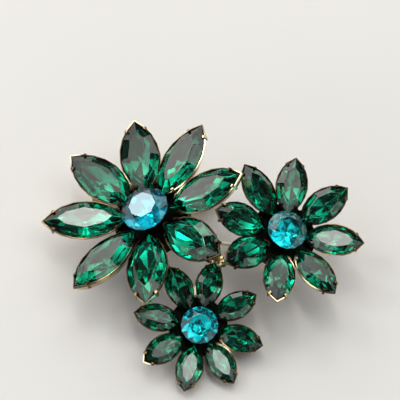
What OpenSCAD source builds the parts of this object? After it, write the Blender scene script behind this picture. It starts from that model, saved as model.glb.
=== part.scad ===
// A brooch of three flowers. Each petal is a pointed glass stone in a boat-shaped metal cup,
// and each flower is held on a frame of rods by the rivet of its round centre stone.
// X runs across the brooch, Y towards its upper edge, and Z up from the surface that it lies on.
// Sizes are in millimetres and angles in degrees.

/* [Large flower] */
// Length of a petal stone
large_petal_len = 15.3; // [14:0.1:15.5]
// Width of a petal stone
large_petal_w = 7.2; // [6:0.1:7.2]
// Distance from the flower's axis to a petal's inner point
large_ring_r = 3.8; // [3.6:0.1:4.2]
// Diameter of the round centre stone
large_centre_d = 8.8; // [8:0.1:9.2]
// Tilt of the flower's face from level
large_tilt = 18; // [14:1:20]
// Direction in which the face leans, anticlockwise from +X
large_lean = 176; // [170:1:185]
// Place of the middle of the ring of petals
large_at = [-9.72, 5.94, 9.6]; // [-20:0.02:20]

/* [Medium flower] */
// Length of a petal stone
medium_petal_len = 10.4; // [9.6:0.2:10.6]
// Width of a petal stone
medium_petal_w = 5.6; // [4.8:0.2:5.6]
// Distance from the flower's axis to a petal's inner point
medium_ring_r = 3.55; // [3.4:0.05:3.8]
// Diameter of the round centre stone
medium_centre_d = 7.2; // [7:0.1:7.6]
// Tilt of the flower's face from level
medium_tilt = 15; // [12:1:17]
// Direction in which the face leans, anticlockwise from +X
medium_lean = -32; // [-40:1:-20]
// Place of the middle of the ring of petals
medium_at = [14.78, 1.86, 10]; // [-20:0.02:20]

/* [Small flower] */
// Length of a petal stone
small_petal_len = 8.2; // [7.8:0.2:8.4]
// Width of a petal stone
small_petal_w = 4.6; // [4:0.2:4.8]
// Distance from the flower's axis to a petal's inner point
small_ring_r = 3.2; // [3.1:0.05:3.4]
// Diameter of the round centre stone
small_centre_d = 6.6; // [6.5:0.1:7.1]
// Tilt of the flower's face from level
small_tilt = 20; // [17:1:21]
// Direction in which the face leans, anticlockwise from +X
small_lean = -77; // [-85:1:-70]
// Place of the middle of the ring of petals
small_at = [-0.62, -14.16, 4.96]; // [-20:0.02:20]

/* [Stones and cups] */
// Gap between a stone and its metal
stone_gap = 0.05; // [0.05:0.01:0.07]
// Wall of a cup at its rim
rim_wall = 0.16; // [0.16:0.01:0.2]
// Width of a claw that holds a petal stone
claw_w = 0.5; // [0.45:0.05:0.6]
// How far a claw reaches in over a stone's edge
claw_reach = 0.22; // [0.2:0.01:0.26]

/* [Frame and pin] */
// Diameter of the frame's rods
rod_d = 0.7; // [0.6:0.05:0.8]
// Diameter of the rivet under each centre stone
rivet_d = 1.6; // [1.4:0.1:1.8]
// Length of the pin's bar
bar_len = 24; // [22:1:26]
// Place of the bar's middle, across and along the brooch
bar_at = [-8.5, 14]; // [-12:0.5:16]
// Height of the bar's upper face above the surface
bar_top = 4.4; // [4.2:0.1:4.4]
// Diameter of the pin's stem
stem_d = 1; // [0.8:0.1:1.1]

/* [Hidden] */
// Columns of a petal's row: its direction round the flower, the lift of its tip and its roll
ANGLE = 0;
LIFT = 1;
ROLL = 2;
large_petals = [
  [97, 9, 10],
  [57, 5, 0],
  [8, 15, 4],
  [-41, 12, 12],
  [-88, 8, -5],
  [-131, 11, 4],
  [-177, 18, -6],
  [-222, 15, 4]
];
medium_petals = [
  [83, 9, -6],
  [38, 18, -4],
  [-6, 13, 6],
  [-53, 11, -3],
  [-99, 13, 7],
  [-146, 17, -1],
  [-187, 20, -9],
  [-237, 6, 6]
];
small_petals = [
  [118, 4, 1],
  [77, 1, 0],
  [30, -4, -8],
  [-16, 1, 0],
  [-58, 3, 1],
  [-102, 2, 2],
  [-146, 6, -1],
  [-190, 6, 0]
];

// Columns of a flower's row
NAME = 0;
LEN = 1;
WIDTH = 2;
RING = 3;
CENTRE = 4;
TILT = 5;
LEAN = 6;
AT = 7;
PETALS = 8;
large = ["large", large_petal_len, large_petal_w, large_ring_r, large_centre_d,
  large_tilt, large_lean, large_at, large_petals];
medium = ["medium", medium_petal_len, medium_petal_w, medium_ring_r, medium_centre_d,
  medium_tilt, medium_lean, medium_at, medium_petals];
small = ["small", small_petal_len, small_petal_w, small_ring_r, small_centre_d,
  small_tilt, small_lean, small_at, small_petals];
FLOWERS = [large, medium, small];

// A petal stone's heights and widths, as parts of its width or length
table_len = 0.65;
table_w = 0.56;
table_h = 0.185;
girdle_h = 0.02;
knee_at = 0.57;
belly_size = 0.62;
belly_h = 0.2;
culet_size = 0.05;
culet_h = 0.36;

// A cup's depth and taper, as parts of its stone's width or of its rim
cup_depth = 0.42;
cup_floor = 0.045;
cup_lip = 0.022;
rim_foot = 0.03;
waist_at = 0.55;
waist_len = 0.86;
waist_w = 0.82;
foot_len = 0.68;
foot_w = 0.42;
side_steps = 8;
claw_at = 0.74;

// A claw's thickness, and how far its finger stays above the stone
claw_t = 0.2;
claw_clear = 0.06;

// A centre stone's sides, and its heights and radii as parts of its diameter
centre_sides = 8;
centre_lift = 0.24;
centre_girdle = 0.02;
centre_crown = 0.15;
centre_table = 0.29;
centre_star = 0.39;
centre_depth = 0.33;
centre_culet = 0.03;
centre_belly = 0.27;
centre_belly_h = centre_depth * (0.5 - centre_belly * cos(180 / centre_sides)) / (0.5 - centre_culet);

// A centre stone's cup, which ends under the stone's edge: its inner radii as parts of the
// stone's diameter, and its floor
centre_cup_r = 0.42;
centre_cup_foot = 0.18;
centre_cup_floor = 0.25;

// Metal under the flowers, and how far a bore's cut runs past its faces
fit_gap = 0.1;
past = 1;
hub_spread = 0.45;
hub_depth = 0.47;
eye_r = 3.3;
eye_t = 0.8;
head_r = 1.3;
head_t = 0.4;
rod_start = 1.9;
large_front = 1.8;
medium_front = 2.6;

// The feet on the pin's bar: their places from its middle, and their radius and height
bar_feet = [-1, 8];
foot_r = 1;
foot_h = 0.8;

// Where two rods to the small flower are soldered: at a bend, and along the front rod
small_bend = [-6.65, -0.8, 4];
solder_d = 1;
front_joint = 0.49;

// The lump of solder at a petal's tip: the places of its pebbles in that petal's own axes
knob_petal = 5;
pebbles = [
  [4.75, -1.75, -2.3],
  [4.5, -1.4, -1.7],
  [5.05, -1.2, -1.8],
  [4.8, -0.7, -1.5],
  [5.25, -1.05, -2.2],
  [5.4, -0.45, -2],
  [4.95, -0.25, -1.5]
];
pebble_r = 0.58;
pebble_shape = [1.15, 1, 0.85];
pebble_turn = [50, 33, 20];
pebble_sides = 8;

// The pin's bar, hinge, stem and catch
bar_w = 2.4;
bar_t = 0.9;
hinge_len = 3.2;
cheek_t = 0.6;
barrel_r = 1.1;
stem_z = 1.25;
stem_point = 2.5;
stem_tip_d = 0.2;
catch_len = 2.6;
catch_t = 0.6;
catch_lip = 1.9;

$fn = 32;

// Outlines
// Half the width of a pointed outline of two arcs, at x along its half length a
function arc_y(x, a, b) = let (r = (a * a + b * b) / (2 * b)) sqrt(r * r - x * x) - r + b;

// Points of that outline, with the same number of steps on each side
function boat(a, b, z) =
  let (r = (a * a + b * b) / (2 * b), turn = asin(a / r))
  [for (k = [0 : 2 * side_steps - 1])
    let (side = k < side_steps ? 1 : -1, t = (k % side_steps) / side_steps)
    let (phi = side * turn * (1 - 2 * t))
    [r * sin(phi), side * (r * cos(phi) - r + b), z]];

// Eight corners of a stone's outline: two points, two sides and four knees between them
function corners(a, b, knee, z) =
  [for (p = [[a, 0], knee, [0, b], [-knee.x, knee.y], [-a, 0], -knee, [0, -b], [knee.x, -knee.y]])
    [p.x, p.y, z]];

// The knee of the table, which keeps each crown facet flat above the girdle's knee
function table_knee(a, b, knee, ta, tb) =
  let (steep = knee.y / (a - knee.x), slow = (b - knee.y) / knee.x)
  let (x = (steep * ta - tb) / (steep - slow))
  [x, steep * (ta - x)];

// Corners of a round stone at radius r, turned by a part of a step
function round_ring(r, n, turn, z) =
  [for (k = [0 : n - 1]) let (a = (k + turn) * 360 / n) [r * cos(a), r * sin(a), z]];

// Places
// How a wall's thickness shows along the length of a pointed tip
function tip_slant(f) = sin(2 * atan(f[WIDTH] / f[LEN]));

// Half the length and half the width of a cup at its rim
function cup_a(f) = f[LEN] / 2 + (stone_gap + rim_wall) / tip_slant(f);
function cup_b(f) = f[WIDTH] / 2 + stone_gap + rim_wall;

// Heights along a flower's axis
function centre_h(f) = centre_lift * f[CENTRE];
function centre_cup_top(f) =
  let (slope = centre_belly_h / (0.5 - centre_belly))
  centre_h(f) - (centre_girdle + slope * (0.5 - centre_cup_r)) * f[CENTRE] - fit_gap;
function centre_foot(f) =
  centre_h(f) - (centre_girdle + centre_depth) * f[CENTRE] - fit_gap - centre_cup_floor;
function hub_top(f) = centre_foot(f) - fit_gap;
function hub_bottom(f) = -hub_depth * f[WIDTH];
function eye_top(f) = hub_bottom(f) - fit_gap;
function eye_mid(f) = eye_top(f) - eye_t / 2;

// A flower's axis, and where its eye lies on it
function facing(f) = [sin(f[TILT]) * cos(f[LEAN]), sin(f[TILT]) * sin(f[LEAN]), cos(f[TILT])];
function eye_at(f) = f[AT] + eye_mid(f) * facing(f);

// A point in the eye's own plane, in front of its middle
function eye_front(f, d) = eye_at(f) + d * [0, -1, facing(f).y / facing(f).z];

// A closed solid through rings of points, lowest ring first
module loft(rings) {
  n = len(rings[0]);
  last = len(rings) - 1;
  polyhedron(
    points = [for (ring = rings) each ring],
    faces = concat(
      [[for (k = [0 : n - 1]) k]],
      [for (level = [0 : last - 1], k = [0 : n - 1])
        let (a = level * n + k, b = level * n + (k + 1) % n)
        [a, a + n, b + n, b]],
      [[for (k = [0 : n - 1]) (last + 1) * n - 1 - k]]
    )
  );
}

// Moves what follows into a flower's own axes, with its face up
module on_flower(f) {
  translate(f[AT])
    rotate(a = f[TILT], v = [-sin(f[LEAN]), cos(f[LEAN]), 0])
      children();
}

// Moves what follows into a petal's own axes, with its tip along +X
module on_petal(f, i) {
  petal = f[PETALS][i];
  on_flower(f)
    rotate([0, 0, petal[ANGLE]])
      translate([f[RING], 0, 0])
        rotate([0, -petal[LIFT], 0])
          translate([cup_a(f), 0, 0])
            rotate([petal[ROLL], 0, 0])
              children();
}

// Petals
module petal_stone(f, i) {
  a = f[LEN] / 2;
  b = f[WIDTH] / 2;
  w = f[WIDTH];
  knee = [knee_at * a, arc_y(knee_at * a, a, b)];
  ta = table_len * a;
  tb = table_w * b;
  color("seagreen")
    on_petal(f, i)
      loft([
        corners(culet_size * a, culet_size * b, culet_size * knee, -culet_h * w),
        corners(belly_size * a, belly_size * b, belly_size * knee, -belly_h * w),
        corners(a, b, knee, -girdle_h * w),
        corners(a, b, knee, girdle_h * w),
        corners(ta, tb, table_knee(a, b, knee, ta, tb), table_h * w)
      ]);
}

module cup_outside(f) {
  a = cup_a(f);
  b = cup_b(f);
  depth = cup_depth * f[WIDTH];
  loft([
    boat(foot_len * a, foot_w * b, -depth),
    boat(waist_len * a, waist_w * b, -waist_at * depth),
    boat(a, b, -rim_foot * f[WIDTH]),
    boat(a, b, cup_lip * f[WIDTH])
  ]);
}

module cup_inside(f) {
  b = cup_b(f) - rim_wall;
  a = cup_a(f) - rim_wall / tip_slant(f);
  depth = cup_depth * f[WIDTH];
  loft([
    boat(foot_len * a, foot_w * b, (cup_floor - cup_depth) * f[WIDTH]),
    boat(waist_len * a, waist_w * b, -waist_at * depth),
    boat(a, b, -rim_foot * f[WIDTH]),
    boat(a, b, f[WIDTH])
  ]);
}

// A claw's sizes follow half way with the petal's width
function claw_scale(f) = (1 + f[WIDTH] / large_petal_w) / 2;

// One claw, with its root at the origin on the rim's outer edge and its finger along -X
module claw(f) {
  k = claw_scale(f);
  w = claw_w * k;
  t = claw_t * k;
  lip = cup_lip * f[WIDTH];
  root = waist_at * cup_depth * f[WIDTH] / 2;
  crown_slope = (table_h - girdle_h) * f[WIDTH] / ((1 - table_w) * f[WIDTH] / 2);
  tip_x = -rim_wall - stone_gap - claw_reach * k;
  tip_z = girdle_h * f[WIDTH] + crown_slope * claw_reach * k + claw_clear;
  translate([-t / 2, -w / 2, -root])
    cube([t, w, root + lip]);
  hull() {
    translate([-t / 2, -w / 2, lip - t / 4])
      cube([t, w, t]);
    translate([tip_x, -w / 2, tip_z])
      cube([t, w, t]);
  }
}

module petal_claws(f) {
  a = cup_a(f);
  b = cup_b(f);
  x = claw_at * a;
  outline_r = (a * a + b * b) / (2 * b);
  for (sx = [-1, 1], sy = [-1, 1])
    scale([sx, sy, 1])
      translate([x, arc_y(x, a, b), 0])
        rotate([0, 0, acos(x / outline_r)])
          claw(f);
}

// The eight cups with their claws and the disc that they are soldered to
module flower_setting(f) {
  hub_h = hub_top(f) - hub_bottom(f);
  color("goldenrod")
    union() {
      difference() {
        union() {
          for (i = [0 : len(f[PETALS]) - 1])
            on_petal(f, i) cup_outside(f);
          on_flower(f)
            translate([0, 0, hub_bottom(f)])
              cylinder(r = f[RING] + hub_spread * f[WIDTH], h = hub_h);
        }
        for (i = [0 : len(f[PETALS]) - 1])
          on_petal(f, i) cup_inside(f);
        on_flower(f)
          translate([0, 0, hub_bottom(f) - past])
            cylinder(d = rivet_d + 2 * fit_gap, h = hub_h + 2 * past);
      }
      for (i = [0 : len(f[PETALS]) - 1])
        on_petal(f, i) petal_claws(f);
    }
}

module knob() {
  for (k = [0 : len(pebbles) - 1])
    on_petal(medium, knob_petal)
      translate(pebbles[k])
        rotate(k * pebble_turn)
          scale(pebble_shape)
            sphere(r = pebble_r, $fn = pebble_sides);
}

// Centre stones
module centre_stone(f) {
  n = centre_sides;
  d = f[CENTRE];
  r = d / 2;
  // The rings between table, girdle and point keep each long facet flat
  star_z = centre_crown * (0.5 - centre_star * cos(180 / n)) / (0.5 - centre_table);
  points = concat(
    round_ring(centre_table * d, n, 0, (centre_girdle + centre_crown) * d),
    round_ring(centre_star * d, n, 0.5, (centre_girdle + star_z) * d),
    round_ring(r, 2 * n, 0, centre_girdle * d),
    round_ring(r, 2 * n, 0, -centre_girdle * d),
    round_ring(centre_belly * d, n, 0.5, -(centre_girdle + centre_belly_h) * d),
    round_ring(centre_culet * d, n, 0, -(centre_girdle + centre_depth) * d)
  );
  table = 0;
  star = n;
  upper = 2 * n;
  lower = 4 * n;
  belly = 6 * n;
  culet = 7 * n;
  faces = concat(
    [[for (k = [0 : n - 1]) table + n - 1 - k]],
    [for (k = [0 : n - 1]) let (m = (k + 1) % n) [table + k, table + m, star + k]],
    [for (k = [0 : n - 1]) let (p = (k + n - 1) % n) [table + k, star + k, upper + 2 * k, star + p]],
    [for (k = [0 : n - 1]) [star + k, upper + 2 * k + 1, upper + 2 * k]],
    [for (k = [0 : n - 1]) let (m = (k + 1) % n) [star + k, upper + 2 * m, upper + 2 * k + 1]],
    [for (k = [0 : 2 * n - 1]) let (m = (k + 1) % (2 * n)) [upper + k, upper + m, lower + m, lower + k]],
    [for (k = [0 : n - 1]) [belly + k, lower + 2 * k, lower + 2 * k + 1]],
    [for (k = [0 : n - 1]) let (m = (k + 1) % n) [belly + k, lower + 2 * k + 1, lower + 2 * m]],
    [for (k = [0 : n - 1]) let (p = (k + n - 1) % n) [culet + k, belly + p, lower + 2 * k, belly + k]],
    [for (k = [0 : n - 1]) let (m = (k + 1) % n) [culet + k, belly + k, culet + m]],
    [[for (k = [0 : n - 1]) culet + k]]
  );
  color("darkturquoise")
    on_flower(f)
      translate([0, 0, centre_h(f)])
        polyhedron(points = points, faces = faces);
}

// The round cup of a centre stone, with the rivet that holds its flower on the frame
module centre_setting(f) {
  rim = centre_cup_r * f[CENTRE];
  base = centre_cup_foot * f[CENTRE];
  top = centre_cup_top(f);
  foot = centre_foot(f);
  head = eye_top(f) - eye_t - fit_gap;
  color("gold")
    on_flower(f)
      rotate_extrude($fn = 48)
        polygon([
          [0, foot + centre_cup_floor],
          [base, foot + centre_cup_floor],
          [rim, top],
          [rim + rim_wall, top],
          [base + rim_wall, foot],
          [rivet_d / 2, foot],
          [rivet_d / 2, head],
          [head_r, head],
          [head_r, head - head_t],
          [0, head - head_t]
        ]);
}

// Frame
module rod(a, b, d) {
  run = b - a;
  translate(a)
    rotate([0, acos(run.z / norm(run)), atan2(run.y, run.x)])
      cylinder(d = d, h = norm(run));
}

module eye(f) {
  on_flower(f)
    translate([0, 0, eye_mid(f) - eye_t / 2])
      cylinder(r = eye_r, h = eye_t);
}

// A rod from a flower's eye, clear of its rivet, to a point
module stay(f, point) {
  along = (point - eye_at(f)) / norm(point - eye_at(f));
  rod(eye_at(f) + rod_start * along, point, rod_d);
}

// A foot on the pin's bar
module foot(x) {
  translate([x, bar_at.y, bar_top + fit_gap])
    cylinder(r = foot_r, h = foot_h + rod_d / 2);
}

module back_frame() {
  front_from = eye_front(large, large_front);
  front_to = eye_front(medium, medium_front);
  bar_h = bar_top + fit_gap + foot_h;
  color("goldenrod")
    difference() {
      union() {
        for (f = FLOWERS) eye(f);
        rod(front_from, front_to, rod_d);
        stay(small, front_from + front_joint * (front_to - front_from));
        stay(small, small_bend);
        stay(large, small_bend);
        translate(small_bend) sphere(d = solder_d, $fn = 24);
        for (x = bar_feet) {
          stay(large, [bar_at.x + x, bar_at.y, bar_h]);
          foot(bar_at.x + x);
        }
      }
      for (f = FLOWERS)
        on_flower(f)
          translate([0, 0, eye_mid(f) - eye_t])
            cylinder(d = rivet_d + 2 * fit_gap, h = 2 * eye_t);
    }
}

// Pin
module hinge() {
  for (side = [-1, 1])
    translate([0, side * (bar_w - cheek_t) / 2 - cheek_t / 2, 0])
      cube([hinge_len, cheek_t, bar_top - bar_t / 2]);
  translate([hinge_len / 2, bar_w / 2 - cheek_t / 2, stem_z])
    rotate([90, 0, 0])
      cylinder(r = barrel_r, h = bar_w - cheek_t);
}

module stem() {
  translate([hinge_len / 2, 0, stem_z])
    rotate([0, 90, 0]) {
      cylinder(d = stem_d, h = bar_len - hinge_len / 2 - stem_point);
      translate([0, 0, bar_len - hinge_len / 2 - stem_point])
        cylinder(d1 = stem_d, d2 = stem_tip_d, h = stem_point);
    }
}

// The catch's section, a hook that the stem lies in
module catch_section() {
  side = bar_w / 2;
  polygon([
    [side, 0],
    [side, bar_top - bar_t / 2],
    [side - catch_t, bar_top - bar_t / 2],
    [side - catch_t, catch_t],
    [catch_t - side, catch_t],
    [catch_t - side, catch_lip],
    [-side, catch_lip],
    [-side, 0]
  ]);
}

module pin_back() {
  color("gold")
    translate([bar_at.x - bar_len / 2, bar_at.y, 0]) {
      translate([0, -bar_w / 2, bar_top - bar_t])
        cube([bar_len, bar_w, bar_t]);
      hinge();
      stem();
      translate([bar_len - catch_len - stem_point, 0, 0])
        rotate([90, 0, 90])
          linear_extrude(catch_len) catch_section();
    }
}

// Nodes
for (f = FLOWERS, i = [0 : len(f[PETALS]) - 1])
  petal_stone(f, i);
for (f = FLOWERS)
  centre_stone(f);
for (f = FLOWERS)
  centre_setting(f);
flower_setting(large);  // large_flower_setting
union() {  // medium_flower_setting
  flower_setting(medium);
  color("goldenrod") knob();
}
flower_setting(small);  // small_flower_setting
back_frame();
pin_back();
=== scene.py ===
"""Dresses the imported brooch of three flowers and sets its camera, floor and light.

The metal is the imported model's own, with softened edges and plating. Every stone is cut again
with clean facets and a foiled back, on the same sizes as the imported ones.
"""

from __future__ import annotations

import logging
import math
from dataclasses import dataclass, field, replace
from enum import Enum
from typing import Any, Sequence

import bmesh
import bpy
from mathutils import Matrix, Quaternion, Vector

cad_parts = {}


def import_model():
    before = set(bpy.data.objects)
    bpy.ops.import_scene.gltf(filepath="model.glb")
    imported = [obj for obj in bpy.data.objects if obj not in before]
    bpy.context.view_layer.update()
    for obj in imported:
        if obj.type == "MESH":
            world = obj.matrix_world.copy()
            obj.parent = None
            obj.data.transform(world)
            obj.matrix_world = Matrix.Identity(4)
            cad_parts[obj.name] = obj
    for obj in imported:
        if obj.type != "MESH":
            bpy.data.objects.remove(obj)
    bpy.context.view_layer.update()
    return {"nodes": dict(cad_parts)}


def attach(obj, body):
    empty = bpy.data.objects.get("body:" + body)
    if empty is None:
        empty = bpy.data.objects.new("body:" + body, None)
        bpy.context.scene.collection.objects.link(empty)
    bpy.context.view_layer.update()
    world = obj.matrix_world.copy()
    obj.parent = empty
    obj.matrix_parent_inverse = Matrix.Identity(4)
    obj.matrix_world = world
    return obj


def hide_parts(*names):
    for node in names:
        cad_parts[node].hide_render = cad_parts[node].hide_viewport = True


LOG = logging.getLogger("brooch")
MM = 0.001
BODY = "root"

Colour = tuple[float, float, float]
Stop = tuple[float, Colour]


class Skin(Enum):
    """The two surfaces of a foiled stone, by material slot."""

    CROWN = 0
    FOIL = 1


class Slot(Enum):
    """Names for the finishes of the stones."""

    GREEN = "green_stone"
    AQUA = "aqua_stone"


# Shader nodes


class Tone:
    """A value socket that takes part in plain arithmetic."""

    def __init__(self, paint: Paint, socket: bpy.types.NodeSocket) -> None:
        """Keeps the socket and the tree that it belongs to.

        Args:
            paint: The tree's helper.
            socket: The output socket that holds the value.
        """
        self.paint = paint
        self.socket = socket

    def _maths(self, operation: str, first: Any, second: Any) -> Tone:
        """Adds one Math node.

        Args:
            operation: The node's operation.
            first: The first value or tone.
            second: The second value or tone.

        Returns:
            The node's result.
        """
        inputs = {0: first, 1: second}
        node = self.paint.node("ShaderNodeMath", {"operation": operation}, inputs)
        return Tone(self.paint, node.outputs[0])

    def __add__(self, other: Any) -> Tone:
        """Sum."""
        return self._maths("ADD", self, other)

    __radd__ = __add__

    def __sub__(self, other: Any) -> Tone:
        """Difference."""
        return self._maths("SUBTRACT", self, other)

    def __rsub__(self, other: Any) -> Tone:
        """Difference from a number."""
        return self._maths("SUBTRACT", other, self)

    def __mul__(self, other: Any) -> Tone:
        """Product."""
        return self._maths("MULTIPLY", self, other)

    __rmul__ = __mul__

    def __pow__(self, other: Any) -> Tone:
        """Power."""
        return self._maths("POWER", self, other)


class Paint:
    """A material and short ways to add nodes to it."""

    def __init__(self, name: str) -> None:
        """Makes the material with its shader and output.

        Args:
            name: The material's name.
        """
        self.material = bpy.data.materials.new(name)
        self.material.use_nodes = True
        self.tree = self.material.node_tree
        self.tree.nodes.clear()
        self.shader = self.tree.nodes.new("ShaderNodeBsdfPrincipled")
        output = self.tree.nodes.new("ShaderNodeOutputMaterial")
        self.tree.links.new(self.shader.outputs[0], output.inputs[0])

    def node(self, kind: str, settings: dict[str, Any], inputs: dict[Any, Any]) -> bpy.types.Node:
        """Adds a node, sets it and then feeds it.

        Args:
            kind: The node's type.
            settings: Properties to set first; a ramp's two stops go under the name stops.
            inputs: Values, tones or sockets by input name or number.

        Returns:
            The node.
        """
        node = self.tree.nodes.new(kind)
        for name, value in settings.items():
            if name == "stops":
                for element, (place, colour) in zip(node.color_ramp.elements, value):
                    element.position = place
                    element.color = (*colour, 1)
            else:
                setattr(node, name, value)
        for name, value in inputs.items():
            self.feed(node.inputs[name], value)
        return node

    def feed(self, socket: bpy.types.NodeSocket, value: Any) -> None:
        """Gives a socket a value or a link.

        Args:
            socket: The input socket.
            value: A number, a tuple, a tone or an output socket.
        """
        if isinstance(value, Tone):
            value = value.socket
        if isinstance(value, bpy.types.NodeSocket):
            self.tree.links.new(value, socket)
        else:
            socket.default_value = value

    def set(self, **values: Any) -> None:
        """Sets the shader's own sockets.

        Args:
            values: Socket names with spaces as underscores, and their values.
        """
        for name, value in values.items():
            self.feed(self.shader.inputs[name.replace("_", " ")], value)

    def place(self, turn: Matrix | None = None) -> bpy.types.NodeSocket:
        """Object coordinates, turned into a flower's own axes where one is given.

        Args:
            turn: The flower's place, in metres.

        Returns:
            The coordinates.
        """
        coords = self.node("ShaderNodeTexCoord", {}, {}).outputs["Object"]
        if turn is None:
            return coords
        back = turn.inverted()
        mapping = self.node("ShaderNodeMapping", {}, {"Vector": coords})
        mapping.inputs["Location"].default_value = back.to_translation()
        mapping.inputs["Rotation"].default_value = back.to_euler("XYZ")
        return mapping.outputs[0]

    def noise(self, coords: bpy.types.NodeSocket, scale: float, detail: float = 2.0) -> Tone:
        """Soft noise.

        Args:
            coords: The coordinates that it reads.
            scale: Its scale for a metre.
            detail: Its octaves.

        Returns:
            The noise from 0 to 1.
        """
        inputs = {"Vector": coords, "Scale": scale, "Detail": detail}
        return Tone(self, self.node("ShaderNodeTexNoise", {}, inputs).outputs["Fac"])

    def ramp(self, value: Tone, low: Stop, high: Stop) -> bpy.types.NodeSocket:
        """Colours along a value.

        Args:
            value: The value from 0 to 1.
            low: The lower place and its colour.
            high: The upper place and its colour.

        Returns:
            The colour.
        """
        settings = {"stops": (low, high)}
        return self.node("ShaderNodeValToRGB", settings, {"Fac": value}).outputs["Color"]

    def blend(self, share: Tone, under: Any, over: Colour) -> bpy.types.NodeSocket:
        """Lays one colour over another.

        Args:
            share: How much of the second colour shows.
            under: The first colour.
            over: The second colour.

        Returns:
            The mixed colour.
        """
        mix = self.node("ShaderNodeMix", {"data_type": "RGBA"}, {0: share, 6: under, 7: (*over, 1)})
        return mix.outputs[2]

    def rise(self, value: Any, low: float, high: float) -> Tone:
        """A smooth step.

        Args:
            value: The tone or socket to read.
            low: Where the step starts.
            high: Where it ends.

        Returns:
            0 before low, 1 after high.
        """
        settings = {"interpolation_type": "SMOOTHSTEP"}
        inputs = {"Value": value, "From Min": low, "From Max": high}
        return Tone(self, self.node("ShaderNodeMapRange", settings, inputs).outputs[0])

    def radius(self, coords: bpy.types.NodeSocket) -> Tone:
        """Distance from the coordinates' own Z axis.

        Args:
            coords: The coordinates.

        Returns:
            The distance, in metres.
        """
        split = self.node("ShaderNodeSeparateXYZ", {}, {0: coords})
        x, y = (Tone(self, split.outputs[axis]) for axis in "XY")
        return (x * x + y * y) ** 0.5

    def bump(self, height: Tone, depth: float) -> None:
        """Links a fine relief to the shader's normal.

        Args:
            height: The relief from 0 to 1.
            depth: Its depth in metres.
        """
        inputs = {"Height": height, "Distance": depth, "Strength": 1.0}
        self.set(Normal=self.node("ShaderNodeBump", {}, inputs).outputs[0])


# Finishes


@dataclass(frozen=True)
class GlassFinish:
    """Coloured glass of a stone's crown.

    Args:
        name: The material's name.
        tint: Colour of the light that passes.
        film: Thickness of a rainbow film in nanometres, 0 for none.
        painted_light_tint: Paler green painted towards the flower's middle, a painted light.
        ior: The glass's refraction.
        film_ior: The film's refraction.
        streak_scale: Scale of the streaks for a metre.
        streak_ends: Where the noise is at its deepest and at its palest.
        paler: How much brighter a pale streak is, as a factor and an addition.
        deeper: The factor of a deep streak.
    """

    name: str
    tint: Colour
    film: float = 0.0
    painted_light_tint: Colour = (0.008, 0.82, 0.55)
    ior: float = 1.6
    film_ior: float = 1.68
    streak_scale: float = 180.0
    streak_ends: tuple[float, float] = (0.3, 0.7)
    paler: tuple[float, float] = (1.12, 0.01)
    deeper: float = 0.86

    def material(
        self, turn: Matrix | None = None, near: float = 0.0, far: float = 0.0
    ) -> bpy.types.Material:
        """Makes the glass, with faint streaks in its colour and, where a turn is given, painted
        light: a paler green towards the flower's middle.

        Args:
            turn: The flower's place, or none for glass of one colour.
            near: Distance from the flower's axis within which the painted light is full, in metres.
            far: Distance at which it ends.

        Returns:
            The material.
        """
        paint = Paint(self.name)
        streaks = paint.noise(paint.place(), self.streak_scale)
        factor, addition = self.paler
        pale = tuple(min(1.0, part * factor + addition) for part in self.tint)
        deep = tuple(part * self.deeper for part in self.tint)
        start, end = self.streak_ends
        colour = paint.ramp(streaks, (start, deep), (end, pale))
        # Painted light: a paler green towards the flower's middle.
        if turn is not None:
            radius = paint.radius(paint.place(turn))
            colour = paint.blend(1 - paint.rise(radius, near, far), colour, self.painted_light_tint)
        paint.set(
            Base_Color=colour,
            Transmission_Weight=1.0,
            Roughness=0.0,
            IOR=self.ior,
        )
        if self.film:
            paint.set(Thin_Film_Thickness=self.film, Thin_Film_IOR=self.film_ior)
        return paint.material


@dataclass(frozen=True)
class FoilFinish:
    """Mirror foil and lacquer on a stone's back, seen through the glass.

    Args:
        name: The material's name.
        bright: Colour where the foil is clean.
        dull: Colour where the lacquer is thick.
        rough: Roughness where the foil is clean.
        cloud_scale: Scale of the clouds for a metre.
        cloud_ends: Where the noise is dull and where it is bright.
        cloud_rough: What a full cloud adds to the roughness.
        ripple_scale: Scale of the foil's ripples for a metre.
        ripple: Their depth, in metres.
    """

    name: str
    bright: Colour
    dull: Colour
    rough: float
    cloud_scale: float = 420.0
    cloud_ends: tuple[float, float] = (0.36, 0.64)
    cloud_rough: float = 0.06
    ripple_scale: float = 500.0
    ripple: float = 0.000006

    def material(self) -> bpy.types.Material:
        """Makes the foil, clouded and slightly uneven.

        Returns:
            The material.
        """
        paint = Paint(self.name)
        coords = paint.place()
        clouds = paint.noise(coords, self.cloud_scale, 3.0)
        start, end = self.cloud_ends
        paint.set(
            Base_Color=paint.ramp(clouds, (start, self.dull), (end, self.bright)),
            Metallic=1.0,
            Roughness=clouds * self.cloud_rough + self.rough,
        )
        paint.bump(paint.noise(coords, self.ripple_scale, 1.0), self.ripple)
        return paint.material


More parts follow.
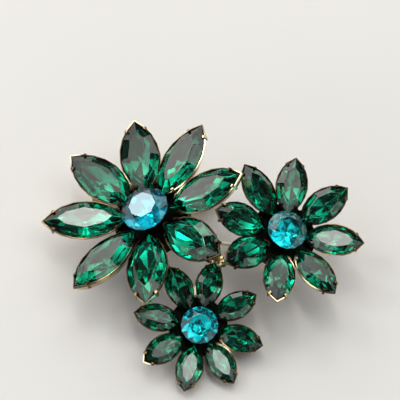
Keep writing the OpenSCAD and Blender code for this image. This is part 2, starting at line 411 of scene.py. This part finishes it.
@dataclass(frozen=True)
class GoldFinish:
    """Gold-tone plating, with painted shade deep between the cups and towards a flower's middle, and
    painted highlights round given spots.

    Args:
        name: The material's name.
        bright: Colour of the painted highlights.
        clean: Colour of the plating; its darker default is a painted dark reflection on the flowers'
            settings, except their undersides.
        worn: Colour where it has dulled.
        painted_shade: Colour of the painted shade deep between the cups and towards a flower's
            middle.
        deep: Height below a flower's middle at which the painted shade is full, in metres.
        shallow: Height at which it starts.
        near: Distance from a flower's axis within which the painted shade is full, in metres.
        far: Distance at which it ends.
        glint_spots: Places of painted highlights, each with its reach, in metres.
        core: The part of the reach within which such a place is fully bright.
        polish: How much smoother those places are, as a part of the roughness.
        patch_scale: Scale of the worn patches for a metre.
        patch_ends: Where the noise is worn and where it is clean.
        rough: Roughness of a worn patch.
        clean_rough: What a clean patch adds to it.
        painted_shade_rough: What full painted shade adds to it.
        grain_scale: Scale of the fine grain for a metre.
        grain: Its depth, in metres.
    """

    name: str
    bright: Colour = (1.0, 0.83, 0.5)
    clean: Colour = (0.19, 0.138, 0.072)
    worn: Colour = (0.05, 0.035, 0.019)
    painted_shade: Colour = (0.007, 0.008, 0.006)
    deep: float = -0.0012
    shallow: float = 0.0006
    near: float = 0.0048
    far: float = 0.0085
    glint_spots: Sequence[tuple[Vector, float]] = ()
    core: float = 0.3
    polish: float = 0.4
    patch_scale: float = 330.0
    patch_ends: tuple[float, float] = (0.4, 0.66)
    rough: float = 0.3
    clean_rough: float = -0.14
    painted_shade_rough: float = 0.25
    grain_scale: float = 2600.0
    grain: float = 0.00001

    def material(self, turn: Matrix | None = None) -> bpy.types.Material:
        """Makes the plating, with painted shade deeper down and towards a flower's middle, and
        painted highlights round its given spots.

        Args:
            turn: The flower's place, or none for bare metal away from the flowers.

        Returns:
            The material.
        """
        paint = Paint(self.name)
        coords = paint.place(turn)
        patches = paint.noise(coords, self.patch_scale, 3.0)
        start, end = self.patch_ends
        colour = paint.ramp(patches, (start, self.worn), (end, self.clean))
        rough = patches * self.clean_rough + self.rough
        if turn is not None:
            # Painted shade: near-black and rougher deep between the cups and towards the flower's
            # middle.
            split = paint.node("ShaderNodeSeparateXYZ", {}, {0: coords})
            open_high = paint.rise(split.outputs["Z"], self.deep, self.shallow)
            open_wide = paint.rise(paint.radius(coords), self.near, self.far)
            shade = 1 - open_high * open_wide
            colour = paint.blend(shade, colour, self.painted_shade)
            rough = rough + shade * self.painted_shade_rough
        # Painted highlights: brighter, smoother gold round each given spot.
        for spot, reach in self.glint_spots:
            settings = {"operation": "DISTANCE"}
            gap = paint.node("ShaderNodeVectorMath", settings, {0: paint.place(), 1: spot})
            near = 1 - paint.rise(gap.outputs["Value"], self.core * reach, reach)
            colour = paint.blend(near, colour, self.bright)
            rough = rough - near * rough * self.polish
        paint.set(Base_Color=colour, Metallic=1.0, Roughness=rough)
        paint.bump(paint.noise(coords, self.grain_scale), self.grain)
        return paint.material


@dataclass(frozen=True)
class FloorFinish:
    """A pale matt floor."""

    name: str = "pale_floor"
    pale: Colour = (0.8, 0.79, 0.77)
    shade: Colour = (0.76, 0.75, 0.73)
    cloud_scale: float = 9.0
    cloud_ends: tuple[float, float] = (0.3, 0.7)
    rough: float = 0.7

    def material(self) -> bpy.types.Material:
        """Makes the floor with a trace of unevenness.

        Returns:
            The material.
        """
        paint = Paint(self.name)
        clouds = paint.noise(paint.place(), self.cloud_scale)
        start, end = self.cloud_ends
        colour = paint.ramp(clouds, (start, self.shade), (end, self.pale))
        paint.set(Base_Color=colour, Roughness=self.rough)
        return paint.material


# Stones


@dataclass
class CutStone:
    """A closed faceted stone, hulled from level rings of corners.

    Args:
        name: The stone's name.
        bevel: Width of its softened edges, in millimetres.
        flat: Angle under which two faces are one facet, in degrees.
        mesh: Its corners, and then its shape.
    """

    name: str
    bevel: float = 0.035
    flat: float = 0.6
    mesh: bmesh.types.BMesh = field(default_factory=bmesh.new)

    def ring(self, corners: Sequence[tuple[float, float]], height: float) -> None:
        """Adds one level of corners.

        Args:
            corners: Places in the ring, in millimetres.
            height: Its height, in millimetres.
        """
        made = bmesh.ops.create_circle(self.mesh, segments=len(corners), radius=1.0)
        for vert, (x, y) in zip(made["verts"], corners):
            vert.co = Vector((x, y, height))

    def finish(
        self, place: Matrix, skins: Sequence[bpy.types.Material], girdle: float
    ) -> bpy.types.Object:
        """Hulls the rings, softens the edges and makes the object.

        Args:
            place: The stone's place, in millimetres.
            skins: Crown glass and foil.
            girdle: Height below which the stone is foiled, in millimetres.

        Returns:
            The stone, riding on the brooch.
        """
        bm = self.mesh
        bmesh.ops.convex_hull(bm, input=list(bm.verts))
        flat = math.radians(self.flat)
        bmesh.ops.dissolve_limit(bm, angle_limit=flat, verts=list(bm.verts), edges=list(bm.edges))
        bmesh.ops.bevel(
            bm,
            geom=list(bm.edges),
            offset=self.bevel,
            offset_type="OFFSET",
            affect="EDGES",
            segments=1,
            profile=0.5,
            material=-1,
        )
        bmesh.ops.recalc_face_normals(bm, faces=list(bm.faces))
        for face in bm.faces:
            below = face.calc_center_median().z < girdle
            face.material_index = (Skin.FOIL if below else Skin.CROWN).value
        return mesh_piece(self.name, bm, place, skins)


def mesh_piece(
    name: str, bm: bmesh.types.BMesh, place: Matrix, skins: Sequence[bpy.types.Material]
) -> bpy.types.Object:
    """Turns a bmesh in millimetres into an object at the origin.

    Args:
        name: The piece's name.
        bm: The shape, which is freed.
        place: Its place, in millimetres.
        skins: Its materials, in slot order.

    Returns:
        The object, riding on the brooch.
    """
    bmesh.ops.transform(bm, matrix=Matrix.Scale(MM, 4) @ place, verts=list(bm.verts))
    mesh = bpy.data.meshes.new(name)
    bm.to_mesh(mesh)
    bm.free()
    piece = bpy.data.objects.new(name, mesh)
    bpy.context.scene.collection.objects.link(piece)
    for skin in skins:
        mesh.materials.append(skin)
    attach(piece, BODY)
    return piece


@dataclass(frozen=True)
class Petal:
    """Where a petal stands, in degrees.

    Args:
        angle: Its direction round the flower's axis.
        lift: How far its tip rises from the flower's plane.
        roll: Its turn about its own length.
    """

    angle: float
    lift: float
    roll: float


@dataclass(frozen=True)
class PaintedGlint:
    """A painted highlight on a petal's rim.

    Args:
        petal: The petal's number.
        along: Its place towards the tip, as a part of half the stone's length.
        across: Its place towards the side, as a part of half the stone's width.
        reach: Its reach, in millimetres.
    """

    petal: int
    along: float
    across: float
    reach: float


@dataclass
class PetalCut:
    """Heights and sizes of a pointed stone.

    Args:
        table_len: Length of its table, as a part of the stone's.
        table_w: Width of its table, as a part of the stone's.
        table_h: Height of its table above the middle, as a part of the width.
        girdle_h: Half the height of its edge, as a part of the width.
        knee_at: Where the side turns towards the tip, as a part of half the length.
        belly_size: Size of the lower ring, as a part of the outline.
        belly_h: Its depth, as a part of the width.
        culet_size: Size of the lowest ring, as a part of the outline.
        culet_h: Its depth, as a part of the width.
    """

    table_len: float = 0.65
    table_w: float = 0.56
    table_h: float = 0.185
    girdle_h: float = 0.02
    knee_at: float = 0.57
    belly_size: float = 0.62
    belly_h: float = 0.2
    culet_size: float = 0.05
    culet_h: float = 0.36

    def corners(self, tip: float, side: float, knee: Vector) -> list[tuple[float, float]]:
        """The eight corners of an outline.

        Args:
            tip: Half its length.
            side: Half its width.
            knee: The corner between tip and side.

        Returns:
            The corners in order.
        """
        x, y = knee
        return [(tip, 0), (x, y), (0, side), (-x, y), (-tip, 0), (-x, -y), (0, -side), (x, -y)]

    def cut(self, name: str, length: float, width: float) -> CutStone:
        """Cuts the stone about its own middle.

        Args:
            name: The stone's name.
            length: Its length.
            width: Its width.

        Returns:
            The stone, not yet placed.
        """
        tip, side = length / 2, width / 2
        bow = (tip * tip + side * side) / (2 * side)
        knee_x = self.knee_at * tip
        knee = Vector((knee_x, math.sqrt(bow**2 - knee_x**2) - bow + side))
        # The table's edges are parallel to the outline's, so its knee is where two of them meet.
        table_tip, table_side = self.table_len * tip, self.table_w * side
        tip_slope = knee.y / (tip - knee.x)
        side_slope = (side - knee.y) / knee.x
        table_x = (tip_slope * table_tip - table_side) / (tip_slope - side_slope)
        table_knee = Vector((table_x, tip_slope * (table_tip - table_x)))
        stone = CutStone(name)
        for size, height in ((self.culet_size, -self.culet_h), (self.belly_size, -self.belly_h)):
            stone.ring(self.corners(size * tip, size * side, size * knee), height * width)
        for height in (-self.girdle_h, self.girdle_h):
            stone.ring(self.corners(tip, side, knee), height * width)
        stone.ring(self.corners(table_tip, table_side, table_knee), self.table_h * width)
        return stone


@dataclass
class RoundCut:
    """Heights and radii of a round stone, as parts of its diameter.

    Args:
        girdle: Half the height of its edge.
        crown: Height of the table above the edge.
        table: The table's radius.
        star: Radius of the ring between table and edge.
        depth: Depth of the lowest ring below the edge.
        culet: The lowest ring's radius.
        belly: Radius of the ring between edge and lowest ring.
        sides: Number of the table's sides.
    """

    girdle: float = 0.02
    crown: float = 0.15
    table: float = 0.29
    star: float = 0.39
    depth: float = 0.33
    culet: float = 0.03
    belly: float = 0.27
    sides: int = 8

    def corners(self, radius: float, count: int, turn: float) -> list[tuple[float, float]]:
        """Corners of a round ring.

        Args:
            radius: The ring's radius.
            count: How many corners it has.
            turn: A turn, as a part of a step.

        Returns:
            The corners in order.
        """
        angles = [(k + turn) * 2 * math.pi / count for k in range(count)]
        return [(radius * math.cos(t), radius * math.sin(t)) for t in angles]

    def cut(self, name: str, width: float) -> CutStone:
        """Cuts the stone about its own middle.

        Args:
            name: The stone's name.
            width: Its diameter.

        Returns:
            The stone, not yet placed.
        """
        n = self.sides
        edge = 0.5
        half_turn = 0.5
        # The two middle rings stand where they make each kite-shaped facet flat.
        mid_side = math.cos(math.pi / n)
        star_z = self.crown * (edge - self.star * mid_side) / (edge - self.table)
        belly_z = self.depth * (edge - self.belly * mid_side) / (edge - self.culet)
        rings = (
            (self.table, n, 0.0, self.girdle + self.crown),
            (self.star, n, half_turn, self.girdle + star_z),
            (edge, 2 * n, 0.0, self.girdle),
            (edge, 2 * n, 0.0, -self.girdle),
            (self.belly, n, half_turn, -self.girdle - belly_z),
            (self.culet, n, 0.0, -self.girdle - self.depth),
        )
        stone = CutStone(name)
        for radius, count, turn, height in rings:
            stone.ring(self.corners(radius * width, count, turn), height * width)
        return stone


# Flowers


@dataclass
class Flower:
    """One flower: its sizes, its place and its petals.

    Args:
        name: The flower's name.
        petal_len: Length of its petal stones, in millimetres.
        petal_w: Their width, in millimetres.
        ring_r: Distance of the cups' inner ends from the flower's axis, in millimetres.
        centre_d: Diameter of its round stone, in millimetres.
        tilt: How far the flower leans, in degrees.
        lean: The direction that it leans in, in degrees from +X.
        at: Its middle, in millimetres.
        petals: Its petals in order.
        glints: Painted highlights on their rims.
        petal_cut: The cut of its petal stones.
        round_cut: The cut of its round stone.
        stone_gap: Gap between a stone and its cup, in millimetres.
        rim_wall: The cups' wall, in millimetres.
        centre_lift: Height of the round stone's middle, as a part of its diameter.
        painted_light_span: Where the painted paler green is full and where it ends, as parts of a
            petal.
    """

    name: str
    petal_len: float
    petal_w: float
    ring_r: float
    centre_d: float
    tilt: float
    lean: float
    at: tuple[float, float, float]
    petals: Sequence[Petal]
    glints: Sequence[PaintedGlint] = ()
    petal_cut: PetalCut = field(default_factory=PetalCut)
    round_cut: RoundCut = field(default_factory=RoundCut)
    stone_gap: float = 0.05
    rim_wall: float = 0.16
    centre_lift: float = 0.24
    painted_light_span: tuple[float, float] = (0.15, 0.5)

    def place(self) -> Matrix:
        """The flower's own axes, in millimetres."""
        lean = math.radians(self.lean)
        axis = Vector((-math.sin(lean), math.cos(lean), 0))
        return Matrix.Translation(self.at) @ Matrix.Rotation(math.radians(self.tilt), 4, axis)

    def front(self) -> Vector:
        """The direction that the flower faces."""
        return self.place().to_3x3() @ Vector((0, 0, 1))

    def place_m(self) -> Matrix:
        """The flower's own axes, in metres."""
        place = self.place()
        place.translation = place.translation * MM
        return place

    def petal_place(self, petal: Petal) -> Matrix:
        """A petal's own axes, with its tip along +X.

        Args:
            petal: The petal.

        Returns:
            Its place, in millimetres.
        """
        slant = math.sin(2 * math.atan(self.petal_w / self.petal_len))
        reach = self.petal_len / 2 + (self.stone_gap + self.rim_wall) / slant
        turns = (
            Matrix.Rotation(math.radians(petal.angle), 4, "Z"),
            Matrix.Translation((self.ring_r, 0, 0)),
            Matrix.Rotation(math.radians(-petal.lift), 4, "Y"),
            Matrix.Translation((reach, 0, 0)),
            Matrix.Rotation(math.radians(petal.roll), 4, "X"),
        )
        place = self.place()
        for turn in turns:
            place = place @ turn
        return place

    def glint_spots(self) -> list[tuple[Vector, float]]:
        """Where the painted highlights on the rims are, in metres.

        Returns:
            Places and reaches.
        """
        spots = []
        for glint in self.glints:
            place = self.petal_place(self.petals[glint.petal - 1])
            along, across = glint.along * self.petal_len / 2, glint.across * self.petal_w / 2
            spots.append((place @ Vector((along, across, 0)) * MM, glint.reach * MM))
        return spots

    def set_petals(self, glass: GlassFinish, foil: FoilFinish) -> list[bpy.types.Object]:
        """Cuts and sets the petal stones.

        Args:
            glass: Their crown.
            foil: Their back.

        Returns:
            The stones.
        """
        near, far = (self.ring_r + share * self.petal_len for share in self.painted_light_span)
        skins = [glass.material(self.place_m(), near * MM, far * MM), foil.material()]
        made = []
        for index, petal in enumerate(self.petals, 1):
            stone = self.petal_cut.cut(f"{self.name}_petal_{index}", self.petal_len, self.petal_w)
            girdle = -self.petal_cut.girdle_h * self.petal_w
            piece = stone.finish(self.petal_place(petal), skins, girdle)
            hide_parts(f"{self.name}_petal_stone_{index}")
            made.append(piece)
        return made

    def set_centre(self, glass: GlassFinish, foil: FoilFinish) -> bpy.types.Object:
        """Cuts and sets the round centre stone.

        Args:
            glass: Its crown.
            foil: Its back.

        Returns:
            The stone.
        """
        stone = self.round_cut.cut(f"{self.name}_centre", self.centre_d)
        place = self.place() @ Matrix.Translation((0, 0, self.centre_lift * self.centre_d))
        girdle = -self.round_cut.girdle * self.centre_d
        piece = stone.finish(place, [glass.material(), foil.material()], girdle)
        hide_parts(f"{self.name}_centre_stone")
        return piece


@dataclass
class Metalwork:
    """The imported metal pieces, softened and plated.

    Args:
        nodes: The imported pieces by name.
        weld: Distance at which their corners are one, in metres.
        soften: Width of their softened edges, in metres.
        sharp: Angle past which an edge is softened, in degrees.
        under_slope: A face is an underside where the cosine of its angle to the front is less.
    """

    nodes: dict[str, bpy.types.Object]
    weld: float = 0.000002
    soften: float = 0.00006
    sharp: float = 40.0
    under_slope: float = -0.05

    def dress(self, name: str, plating: bpy.types.Material) -> bpy.types.Object:
        """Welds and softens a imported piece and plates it.

        Args:
            name: The node's name.
            plating: Its material.

        Returns:
            The node's object.
        """
        piece = self.nodes[name]
        piece.data.materials.clear()
        piece.data.materials.append(plating)
        weld = piece.modifiers.new("weld", "WELD")
        weld.merge_threshold = self.weld
        round_off = piece.modifiers.new("soft_edges", "BEVEL")
        round_off.width = self.soften
        round_off.segments = 2
        round_off.limit_method = "ANGLE"
        round_off.angle_limit = math.radians(self.sharp)
        round_off.harden_normals = False
        return piece

    def plate_under(self, name: str, front: Vector, plating: bpy.types.Material) -> None:
        """Gives the undersides of a dressed piece their own plating; the faces towards the front
        keep the darker plating, a painted dark reflection.

        Args:
            name: The node's name.
            front: The direction that its flower faces.
            plating: The material of the undersides.
        """
        mesh = self.nodes[name].data
        mesh.materials.append(plating)
        for face in mesh.polygons:
            if face.normal.dot(front) < self.under_slope:
                face.material_index = len(mesh.materials) - 1


# Stage

WARM = (1.0, 0.98, 0.94)


@dataclass
class Softbox:
    """A flat rectangular light that looks at the brooch.

    Args:
        name: The light's name.
        toward: Direction from the brooch.
        away: Distance, in metres.
        size: Width and height, in metres.
        radiance: Brightness of its face.
        colour: Its colour.
        spin: Turn about its own middle, in degrees.
    """

    name: str
    toward: tuple[float, float, float]
    away: float
    size: tuple[float, float]
    radiance: float
    colour: Colour = (1.0, 1.0, 1.0)
    spin: float = 0.0

    def hang(self) -> bpy.types.Object:
        """Makes the light.

        Returns:
            Its object.
        """
        light = bpy.data.lights.new(self.name, "AREA")
        light.shape = "RECTANGLE"
        light.size, light.size_y = self.size
        width, height = self.size
        light.energy = self.radiance * math.pi * width * height
        light.color = self.colour
        lamp = bpy.data.objects.new(self.name, light)
        bpy.context.scene.collection.objects.link(lamp)
        way = Vector(self.toward).normalized()
        lamp.location = way * self.away
        lamp.rotation_mode = "QUATERNION"
        turn = Quaternion((0, 0, 1), math.radians(self.spin))
        lamp.rotation_quaternion = way.to_track_quat("Z", "Y") @ turn
        return lamp


@dataclass
class Studio:
    """The floor, the lights and the camera.

    Args:
        floor_size: Side of the floor, in metres.
        elevation: The camera's height over the floor, in degrees.
        distance: The camera's distance from its target, in metres.
        target: The place that it looks at, in metres.
        focal_px: Its focal length in pixels of the frame.
        frame_px: The frame's width in pixels.
        sensor: Its sensor's width, in millimetres.
        clip: The nearest and farthest distance that it sees, in metres.
        sky: Strength of the room's own light.
        sky_colour: Its colour.
        boxes: The softboxes.
    """

    floor_size: float = 4.0
    elevation: float = 60.0
    distance: float = 0.295
    target: tuple[float, float, float] = (-0.00042, 0.01444, 0.0)
    focal_px: float = 1563.5
    frame_px: float = 400.0
    sensor: float = 36.0
    clip: tuple[float, float] = (0.01, 20.0)
    sky: float = 0.1
    sky_colour: Colour = (0.9, 0.95, 1.0)
    boxes: Sequence[Softbox] = (
        Softbox("sky_panel", (-0.03, 0.47, 0.86), 1.1, (0.95, 0.42), 2.0, WARM, -4.0),
        Softbox("side_panel", (0.46, -0.06, 0.9), 1.1, (0.5, 0.66), 2.2, WARM),
        Softbox("left_panel", (-0.7, 0.42, 0.56), 1.0, (0.3, 0.5), 3.0, WARM),
        Softbox("low_panel", (-0.356, 0.882, 0.309), 1.1, (0.75, 0.48), 2.6, WARM),
        Softbox("right_panel", (0.311, 0.769, 0.559), 1.1, (0.75, 0.6), 1.8, WARM),
        Softbox("back_strip", (-0.01, 0.22, 0.97), 0.8, (0.09, 0.42), 7.5, WARM, 22.0),
        Softbox("near_strip", (0.095, -0.19, 0.97), 0.8, (0.07, 0.07), 6.5, WARM),
        Softbox("window", (-0.5, 0.53, 0.68), 0.7, (0.11, 0.11), 11.0, WARM),
        Softbox("wall_left", (-0.97, -0.1, 0.25), 1.0, (1.1, 0.5), 1.3),
        Softbox("wall_right", (0.8, -0.55, 0.25), 1.0, (1.1, 0.5), 1.1),
        Softbox("wall_near", (-0.5, -0.8, 0.36), 1.0, (0.8, 0.4), 1.2),
        Softbox("left_high", (-0.643, -0.05, 0.766), 1.0, (0.5, 0.36), 1.6),
    )

    def lay_floor(self, finish: FloorFinish) -> bpy.types.Object:
        """Lays the floor under the brooch.

        Args:
            finish: Its finish.

        Returns:
            The floor.
        """
        bm = bmesh.new()
        bmesh.ops.create_grid(bm, x_segments=1, y_segments=1, size=self.floor_size / 2)
        mesh = bpy.data.meshes.new("floor")
        bm.to_mesh(mesh)
        bm.free()
        floor = bpy.data.objects.new("floor", mesh)
        mesh.materials.append(finish.material())
        bpy.context.scene.collection.objects.link(floor)
        return floor

    def light(self) -> None:
        """Hangs the softboxes and sets the room's own light and a plain colour view."""
        for box in self.boxes:
            box.hang()
        bpy.context.scene.view_settings.view_transform = "Standard"
        world = bpy.data.worlds.new("room")
        world.use_nodes = True
        background = world.node_tree.nodes["Background"]
        background.inputs["Color"].default_value = (*self.sky_colour, 1)
        background.inputs["Strength"].default_value = self.sky
        bpy.context.scene.world = world

    def aim(self) -> bpy.types.Object:
        """Sets the camera at the photograph's angle.

        Returns:
            The camera.
        """
        lens = bpy.data.cameras.new("camera")
        lens.sensor_width = self.sensor
        lens.lens = self.sensor * self.focal_px / self.frame_px
        lens.clip_start, lens.clip_end = self.clip
        camera = bpy.data.objects.new("camera", lens)
        bpy.context.scene.collection.objects.link(camera)
        tilt = math.radians(self.elevation)
        back = Vector((0, -math.cos(tilt), math.sin(tilt)))
        camera.location = Vector(self.target) + back * self.distance
        camera.rotation_mode = "QUATERNION"
        camera.rotation_quaternion = (-back).to_track_quat("-Z", "Y")
        bpy.context.scene.camera = camera
        return camera


# The brooch

EMERALD = GlassFinish("emerald_glass", (0.0008, 0.155, 0.094))
EMERALD_FOIL = FoilFinish("emerald_foil", (0.3, 0.97, 0.87), (0.2, 0.78, 0.68), 0.03)
AQUA = GlassFinish("aqua_glass", (0.01, 0.6, 0.6))
AQUA_FOIL = FoilFinish("aqua_foil", (0.6, 0.97, 1.0), (0.3, 0.75, 0.85), 0.08)
RAINBOW_AQUA = GlassFinish("rainbow_aqua_glass", (0.005, 0.33, 0.4), film=380.0)
CLEAN_GOLD = (0.72, 0.53, 0.27)
DULL_GOLD = (0.42, 0.3, 0.15)
# A painted highlight on the front rod where it shows between the large and the medium flower.
FRONT_ROD_GLINT = (Vector((0.0042, 0.0016, 0.0064)), 0.005)
FRAME_GOLD = GoldFinish(
    "frame_gold",
    bright=(1.0, 0.93, 0.75),
    clean=CLEAN_GOLD,
    worn=DULL_GOLD,
    glint_spots=(FRONT_ROD_GLINT,),
    polish=-0.6,
)


def petals(*rows: tuple[float, float, float]) -> list[Petal]:
    """Makes petals from rows of angle, lift and roll.

    Args:
        rows: One row for each petal.

    Returns:
        The petals.
    """
    return [Petal(*row) for row in rows]


LARGE_PETALS = petals(
    (97, 9, 10),
    (57, 5, 0),
    (8, 15, 4),
    (-41, 12, 12),
    (-88, 8, -5),
    (-131, 11, 4),
    (-177, 18, -6),
    (-222, 15, 4),
)
MEDIUM_PETALS = petals(
    (83, 9, -6),
    (38, 18, -4),
    (-6, 13, 6),
    (-53, 11, -3),
    (-99, 13, 7),
    (-146, 17, -1),
    (-187, 20, -9),
    (-237, 6, 6),
)
SMALL_PETALS = petals(
    (118, 4, 1),
    (77, 1, 0),
    (30, -4, -8),
    (-16, 1, 0),
    (-58, 3, 1),
    (-102, 2, 2),
    (-146, 6, -1),
    (-190, 6, 0),
)

# Painted highlights on the petals' rims, as petal, along, across and reach.
LARGE_GLINTS = (
    PaintedGlint(1, 0.9, 0.0, 3.0),
    PaintedGlint(2, 0.4, -0.9, 4.5),
    PaintedGlint(3, 0.9, -0.3, 3.2),
    PaintedGlint(3, -0.7, 0.9, 2.2),
    PaintedGlint(4, -1.05, 0.0, 1.3),
    PaintedGlint(5, 1.0, 0.0, 3.6),
    PaintedGlint(6, 0.3, 1.0, 3.0),
    PaintedGlint(8, 0.9, 0.0, 2.0),
    PaintedGlint(8, -0.5, -1.0, 2.0),
)
MEDIUM_GLINTS = (
    PaintedGlint(4, 0.3, -1.0, 2.4),
    PaintedGlint(4, -0.7, -0.9, 1.8),
    PaintedGlint(5, 1.0, 0.0, 3.0),
    PaintedGlint(6, 1.0, -0.5, 2.4),
    PaintedGlint(6, -1.1, 0.0, 1.4),
    PaintedGlint(7, 1.0, 0.0, 2.8),
)
SMALL_GLINTS = (
    PaintedGlint(1, -0.4, -1.0, 1.2),
    PaintedGlint(2, 0.9, 0.0, 1.6),
    PaintedGlint(4, -0.5, -1.0, 2.0),
    PaintedGlint(7, 1.0, 0.0, 2.0),
)

LARGE = Flower(
    name="large",
    petal_len=15.3,
    petal_w=7.2,
    ring_r=3.8,
    centre_d=8.8,
    tilt=18,
    lean=176,
    at=(-9.72, 5.94, 9.6),
    petals=LARGE_PETALS,
    glints=LARGE_GLINTS,
)
MEDIUM = Flower(
    name="medium",
    petal_len=10.4,
    petal_w=5.6,
    ring_r=3.55,
    centre_d=7.2,
    tilt=15,
    lean=-32,
    at=(14.78, 1.86, 10),
    petals=MEDIUM_PETALS,
    glints=MEDIUM_GLINTS,
)
SMALL = Flower(
    name="small",
    petal_len=8.2,
    petal_w=4.6,
    ring_r=3.2,
    centre_d=6.6,
    tilt=20,
    lean=-77,
    at=(-0.62, -14.16, 4.96),
    petals=SMALL_PETALS,
    glints=SMALL_GLINTS,
)


@dataclass
class Brooch:
    """The whole brooch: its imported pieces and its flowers."""

    nodes: dict[str, bpy.types.Object]
    flowers: Sequence[Flower] = (LARGE, MEDIUM, SMALL)

    def build(self) -> None:
        """Sets the stones and dresses the metal, flower by flower."""
        metal = Metalwork(self.nodes)
        for flower in self.flowers:
            for stone in flower.set_petals(EMERALD, EMERALD_FOIL):
                LOG.info("set %s", stone.name)
            glass = RAINBOW_AQUA if flower is LARGE else AQUA
            LOG.info("set %s", flower.set_centre(glass, AQUA_FOIL).name)
            gold = GoldFinish(f"{flower.name}_flower_gold", glint_spots=flower.glint_spots())
            plating = gold.material(flower.place_m())
            for part in ("flower_setting", "centre_setting"):
                LOG.info("plated %s", metal.dress(f"{flower.name}_{part}", plating).name)
            # Painted dark reflection: only the undersides get plain gold, and the faces towards the
            # front keep the darker plating above.
            under = replace(gold, name=f"{flower.name}_under_gold", clean=CLEAN_GOLD, worn=DULL_GOLD)
            plating = under.material(flower.place_m())
            metal.plate_under(f"{flower.name}_flower_setting", flower.front(), plating)
        plating = FRAME_GOLD.material()
        for name in ("back_frame", "pin_back"):
            LOG.info("plated %s", metal.dress(name, plating).name)


def main() -> None:
    """Builds the brooch, its stage and its camera."""
    logging.basicConfig(level=logging.INFO)
    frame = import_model()
    studio = Studio()
    studio.aim()
    studio.lay_floor(FloorFinish())
    studio.light()
    Brooch(frame["nodes"]).build()


if __name__ == "__main__":
    main()
